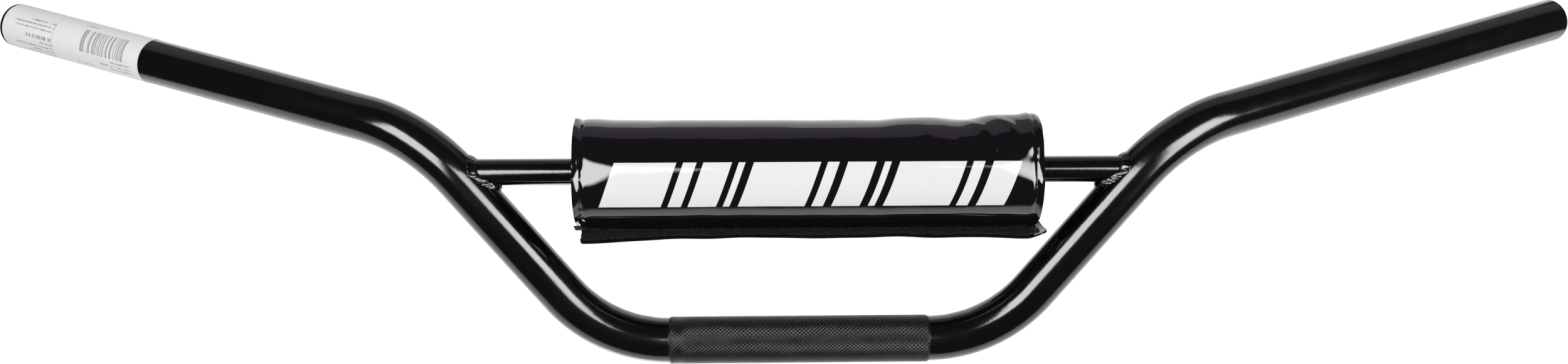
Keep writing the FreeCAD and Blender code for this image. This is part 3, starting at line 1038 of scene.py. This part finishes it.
def flapStitches(name, fromEdge, values):
    # a straight row on the outside of the flap, where the hook strip is sewn on
    count = int((padLength - 2 * values["flapMargin"]) / values["pitch"])
    share = (values["flapMargin"] + np.arange(count) * values["pitch"]) / padLength
    return makeStitches(name, share, np.full(count, coverWidth - fromEdge), 0.001, 0.0, values)


stitchRows = [
    seamStitches("seamStitchesLeft", -1, stitches),
    seamStitches("seamStitchesRight", 1, stitches),
]
stitchRows += [flapStitches(name, fromEdge, stitches) for name, fromEdge in stitches["flapRows"].items()]
print("stitches sewn")


# Shared effects for the materials

def newGroup(name, inputs, outputs):
    # a shared effect: each input has its usual value, or None for a vector
    tree = bpy.data.node_groups.new(name, "ShaderNodeTree")
    for label, value in inputs.items():
        kind = "NodeSocketVector" if value is None else "NodeSocketFloat"
        socket = tree.interface.new_socket(label, in_out="INPUT", socket_type=kind)
        if value is not None:
            socket.default_value = value
    for label in outputs:
        tree.interface.new_socket(label, in_out="OUTPUT", socket_type="NodeSocketFloat")
    return tree, addNode(tree, "NodeGroupInput")


def makePeel():
    # the slight unevenness of a sprayed or moulded gloss skin, and soft differences in its gloss
    inputs = {"Vector": None, "Size": 300.0, "Gloss": 0.06, "Spread": 0.03}
    tree, given = newGroup("glossPeel", inputs, ["Height", "Roughness"])
    fine = noise(given["Vector"], given["Size"], 1.0)
    broad = noise(given["Vector"], given["Size"] * 0.12, 2.0)
    gloss = given["Gloss"] + span(broad, 0.35, 0.75) * given["Spread"]
    addNode(tree, "NodeGroupOutput", {"Height": fine * 0.4 + broad * 1.6, "Roughness": gloss})
    return tree


def makeDust():
    # sparse specks of dust: the middles of a few cells of a cell pattern
    tree, given = newGroup("settledDust", {"Vector": None, "Scale": 120.0, "Amount": 0.12}, ["Mask"])
    cells = addNode(tree, "ShaderNodeTexVoronoi", {"Vector": given["Vector"], "Scale": given["Scale"]})
    chosen = parts(cells["Color"])[0] < given["Amount"]
    addNode(tree, "NodeGroupOutput", {"Mask": chosen * span(cells["Distance"], 0.09, 0.02)})
    return tree


def makeTape():
    # woven tape: crossed yarns with an irregular pile over them
    tree, given = newGroup("tapePile", {"Vector": None, "Scale": 1.0, "Pile": 1.0}, ["Height", "Mask"])
    inputs = {0: given["Vector"], 3: given["Scale"]}
    scaled = addNode(tree, "ShaderNodeVectorMath", inputs, operation="SCALE")[0]
    warp, weft = (abs(calc("SINE", side * math.pi)) for side in parts(scaled)[:2])
    cells = {"Vector": scaled, "Scale": 1.35}
    loops = addNode(tree, "ShaderNodeTexVoronoi", cells, feature="SMOOTH_F1")["Distance"]
    fluff = noise(scaled, 2.2, 3.0, 0.7)
    pile = (1.0 - loops + fluff) * given["Pile"]
    mask = span(fluff * (1.2 - loops), 0.30, 0.62)
    addNode(tree, "NodeGroupOutput", {"Height": warp * weft * 0.35 + pile, "Mask": mask})
    return tree


def makeStroke():
    # one row of short grey strokes on a label: a band across v, cut off at both ends along u, broken by noise
    inputs = {"Vector": None, "Row": 0.0, "Half": 0.45, "From": 0.0, "To": 20.0, "Seed": 0.0}
    tree, given = newGroup("strokeRow", inputs, ["Mask"])
    u, v = parts(given["Vector"])[:2]
    band = span(given["Half"] - abs(v - given["Row"]), -0.08, 0.12)
    shifted = addNode(tree, "ShaderNodeCombineXYZ", {0: u + given["Seed"], 1: given["Row"]})[0]
    ink = span(noise(shifted, 1.15, 2.0), 0.42, 0.50)
    addNode(tree, "NodeGroupOutput", {"Mask": band * within(u, given["From"], given["To"]) * ink})
    return tree


glossPeel, settledDust, tapePile, strokeRow = makePeel(), makeDust(), makeTape(), makeStroke()


# Materials

def dressSurface(tree, color, roughness, height, relief, ior, specular=0.5):
    # a principled surface; relief is how far the height stands out, in metres
    bumps = {"Height": height, "Distance": relief, "Strength": 1.0}
    inputs = {"Base Color": color, "Roughness": roughness, "IOR": ior, "Specular IOR Level": specular}
    inputs["Normal"] = addNode(tree, "ShaderNodeBump", bumps)["Normal"]
    showAs(tree, addNode(tree, "ShaderNodeBsdfPrincipled", inputs))


def glossSkin(tree, size, gloss, spread):
    inputs = {"Vector": placeIn(tree), "Size": size, "Gloss": gloss, "Spread": spread}
    return addNode(tree, glossPeel, inputs)


def dustOn(tree, scale):
    return addNode(tree, settledDust, {"Vector": placeIn(tree), "Scale": scale, "Amount": 0.10})["Mask"]


def flatUv(tree):
    return addNode(tree, "ShaderNodeUVMap", uv_map="UVMap")[0]


def paintMaterial(name, gloss, spread, relief):
    # black gloss paint: near-black, with orange peel and a little dust
    material, tree = newTree(name)
    skin, dust = glossSkin(tree, 420.0, gloss, spread), dustOn(tree, 95.0)
    color = blend(dust, (0.0022, 0.0022, 0.0024, 1), grey(0.03))
    dressSurface(tree, color, skin["Roughness"] + dust * 0.25, skin["Height"], relief, 1.5)
    return material


def knurlMaterial():
    # the same paint, thicker and duller in the grooves and rubbed smooth on the tips
    material, tree = newTree("knurlPaint")
    skin = glossSkin(tree, 900.0, 0.26, 0.10)
    tip = span(addNode(tree, "ShaderNodeAttribute", attribute_name="rise")["Fac"], 0.75, 1.0)
    color = blend(tip, (0.004, 0.004, 0.0045, 1), (0.007, 0.007, 0.0075, 1))
    dressSurface(tree, color, skin["Roughness"] + (1.0 - tip) * 0.06, skin["Height"], 0.00002, 1.5, 0.27)
    return material


printBand = {
    "low": -113.5, "high": -63.5, "slant": 0.36, "from": -97.0, "to": 103.0,
    # where a bar begins and where it ends, in turn, in millimetres from the band's start
    "edges": [
        2.0, 31.0, 34.0, 40.0, 43.5, 57.0, 60.0, 63.0, 66.5, 98.0, 101.0,
        107.0, 110.5, 124.0, 127.5, 131.0, 134.5, 166.0, 169.0, 175.0, 178.5, 192.0,
    ],
}


def vinylMaterial():
    # black gloss vinyl with a white printed band: slanting bars of different lengths, cut by constant steps
    # of a ramp along u plus the slant times v
    material, tree = newTree("coverVinyl")
    u, v = parts(flatUv(tree))[:2]
    toLength = math.radians(1) * pad["middleRadius"]
    low, high = ((pad["firstAngle"] - printBand[key]) * toLength for key in ("high", "low"))
    slanted = u + (v - low) * -printBand["slant"]
    total = printBand["to"] - printBand["from"]
    ramp = addNode(tree, "ShaderNodeValToRGB", {"Fac": (slanted - printBand["from"]) / total})["Color"]
    shades = ramp.socket.node.color_ramp
    shades.interpolation = "CONSTANT"
    shades.elements.remove(shades.elements[1])
    shades.elements[0].position, shades.elements[0].color = 0.0, grey(0)
    for number, at in enumerate(printBand["edges"]):
        shades.elements.new(at / total).color = grey((number + 1) % 2)
    ink = ramp * within(v, low, high)
    skin, dust = glossSkin(tree, 160.0, 0.035, 0.02), dustOn(tree, 110.0)
    color = blend(ink, blend(dust, (0.0044, 0.0036, 0.0046, 1), grey(0.035)), (0.86, 0.87, 0.87, 1))
    dressSurface(tree, color, skin["Roughness"] + ink * 0.03, skin["Height"] + ink * 0.6, 0.00005, 1.52)
    return material


def tapeMaterial(name, scale, pile):
    # black nylon tape with a fuzzy face
    material, tree = newTree(name)
    tape = addNode(tree, tapePile, {"Vector": flatUv(tree), "Scale": scale, "Pile": pile})
    color = blend(tape["Mask"], (0.0012, 0.0011, 0.0013, 1), (0.052, 0.048, 0.052, 1))
    dressSurface(tree, color, span(tape["Mask"], 0.0, 1.0, 0.75, 0.45), tape["Height"], 0.00075, 1.5, 0.22)
    return material


def threadMaterial():
    # black polyester thread, twisted: slanting lines across the stitch
    material, tree = newTree("blackThread")
    bands = {"Vector": placeIn(tree), "Scale": 900.0, "Distortion": 1.0}
    twist = addNode(tree, "ShaderNodeTexWave", bands, wave_type="BANDS", bands_direction="DIAGONAL")["Fac"]
    color = blend(twist, grey(0.006), grey(0.03))
    dressSurface(tree, color, span(twist, 0, 1, 0.35, 0.55), twist, 0.00008, 1.5)
    return material


def foamMaterial():
    # charcoal closed-cell foam: small bubbles with paler walls
    material, tree = newTree("coreFoam")
    cells = addNode(tree, "ShaderNodeTexVoronoi", {"Vector": placeIn(tree), "Scale": 1100.0})["Distance"]
    color = blend(span(cells, 0.2, 0.7), (0.012, 0.012, 0.013, 1), (0.045, 0.045, 0.047, 1))
    dressSurface(tree, color, span(cells, 0.0, 0.8, 0.8, 0.95), cells, 0.0002, 1.45)
    return material


labelPrint = {
    # row across, half height, from, to, seed: rows of strokes on the two labels, in millimetres
    "end": [
        (9.6, 0.42, 14.0, 33.0, 1.0), (7.4, 0.42, 19.0, 33.0, 7.0), (5.3, 0.5, 8.0, 33.0, 13.0),
        (2.9, 0.5, 25.0, 33.0, 19.0), (0.2, 0.95, 16.0, 32.5, 25.0), (-4.0, 0.42, 9.0, 33.0, 31.0),
        (-6.2, 0.42, 7.0, 33.0, 37.0), (-8.4, 0.55, 17.0, 33.0, 43.0),
    ],
    "inner": [
        (8.6, 0.40, 15.0, 26.0, 51.0), (3.4, 0.42, 38.0, 50.0, 57.0), (5.6, 0.42, 31.0, 50.0, 61.0),
        (7.8, 0.42, 36.0, 51.0, 67.0), (-13.4, 0.4, 14.0, 24.0, 71.0),
    ],
    # from, to, low, high
    "block": (18.4, 46.0, -10.5, 1.5),
    "blockLines": 22.0,
    "ink": 0.62,
}


def paperMaterial(name, rows, block):
    # white paper with a faint tooth; its print is grey strokes, and on one label a block of upright bars
    material, tree = newTree(name)
    uv = flatUv(tree)
    u, v = parts(uv)[:2]
    ink = None
    for values in rows:
        inputs = dict(zip(("Row", "Half", "From", "To", "Seed"), values), Vector=uv)
        mask = addNode(tree, strokeRow, inputs)["Mask"]
        ink = mask if ink is None else calc("MAXIMUM", ink, mask)
    if block:
        start, end, low, high = block
        position = (u - start) / (end - start)
        line = {"W": position * labelPrint["blockLines"], "Scale": 1.0, "Detail": 1.5}
        irregular = addNode(tree, "ShaderNodeTexNoise", line, noise_dimensions="1D")["Fac"]
        bars = span(irregular, 0.47, 0.53) * (within(position, 0.0, 1.0) * within(v, low, high))
        ink = calc("MAXIMUM", ink, bars)
    tooth = noise(uv, 3.0, 4.0, 0.6)
    paper = blend(tooth, (0.84, 0.84, 0.85, 1), grey(0.90))
    color = blend(ink * labelPrint["ink"], paper, (0.10, 0.11, 0.14, 1))
    dressSurface(tree, color, span(tooth, 0.3, 0.7, 0.42, 0.52), tooth, 0.00002, 1.45)
    return material


tubePaint = paintMaterial("tubePaint", 0.12, 0.05, 0.00006)
weldPaint = paintMaterial("weldPaint", 0.12, 0.06, 0.00012)
knurlPaint = knurlMaterial()
coverVinyl = vinylMaterial()
hookTape = tapeMaterial("hookTape", 1.15, 1.0)
loopTape = tapeMaterial("loopTape", 1.2, 1.0)
blackThread = threadMaterial()
coreFoam = foamMaterial()
endPaper = paperMaterial("endPaper", labelPrint["end"], None)
innerPaper = paperMaterial("innerPaper", labelPrint["inner"], labelPrint["block"])
print("materials made")


# Each piece gets its finish and its body, and the solids it stands for are hidden

def setPiece(piece, material, body, slotName, *nodes):
    piece.data.materials.clear()
    piece.data.materials.append(material)
    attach(piece, body)
    if nodes:
        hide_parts(*nodes)


setPiece(barTube, tubePaint, "handlebar", "painted_tube", "handlebar_tube")
setPiece(clampKnurl, knurlPaint, "handlebar", "painted_tube")
setPiece(crossbarRod, tubePaint, "handlebar", "painted_tube", "crossbar_tube")
setPiece(weldBeads[0], weldPaint, "handlebar", "painted_tube", "weld_left")
setPiece(weldBeads[1], weldPaint, "handlebar", "painted_tube", "weld_right")
setPiece(labelEnd, endPaper, "handlebar", "label_paper", "label_end")
setPiece(labelInner, innerPaper, "handlebar", "label_paper", "label_inner")
setPiece(padCover, coverVinyl, "pad", "cover_vinyl", "pad_cover")
setPiece(padCore, coreFoam, "pad", "foam", "pad_foam")
setPiece(endDiscs[0], coverVinyl, "pad", "cover_vinyl", "pad_end_left")
setPiece(endDiscs[1], coverVinyl, "pad", "cover_vinyl", "pad_end_right")
setPiece(hookStrip, hookTape, "pad", "closing_strip", "hook_strip")
setPiece(loopStrip, loopTape, "pad", "closing_strip", "loop_strip")
for row in stitchRows:
    setPiece(row, blackThread, "pad", "closing_strip")
print("pieces set on their bodies")
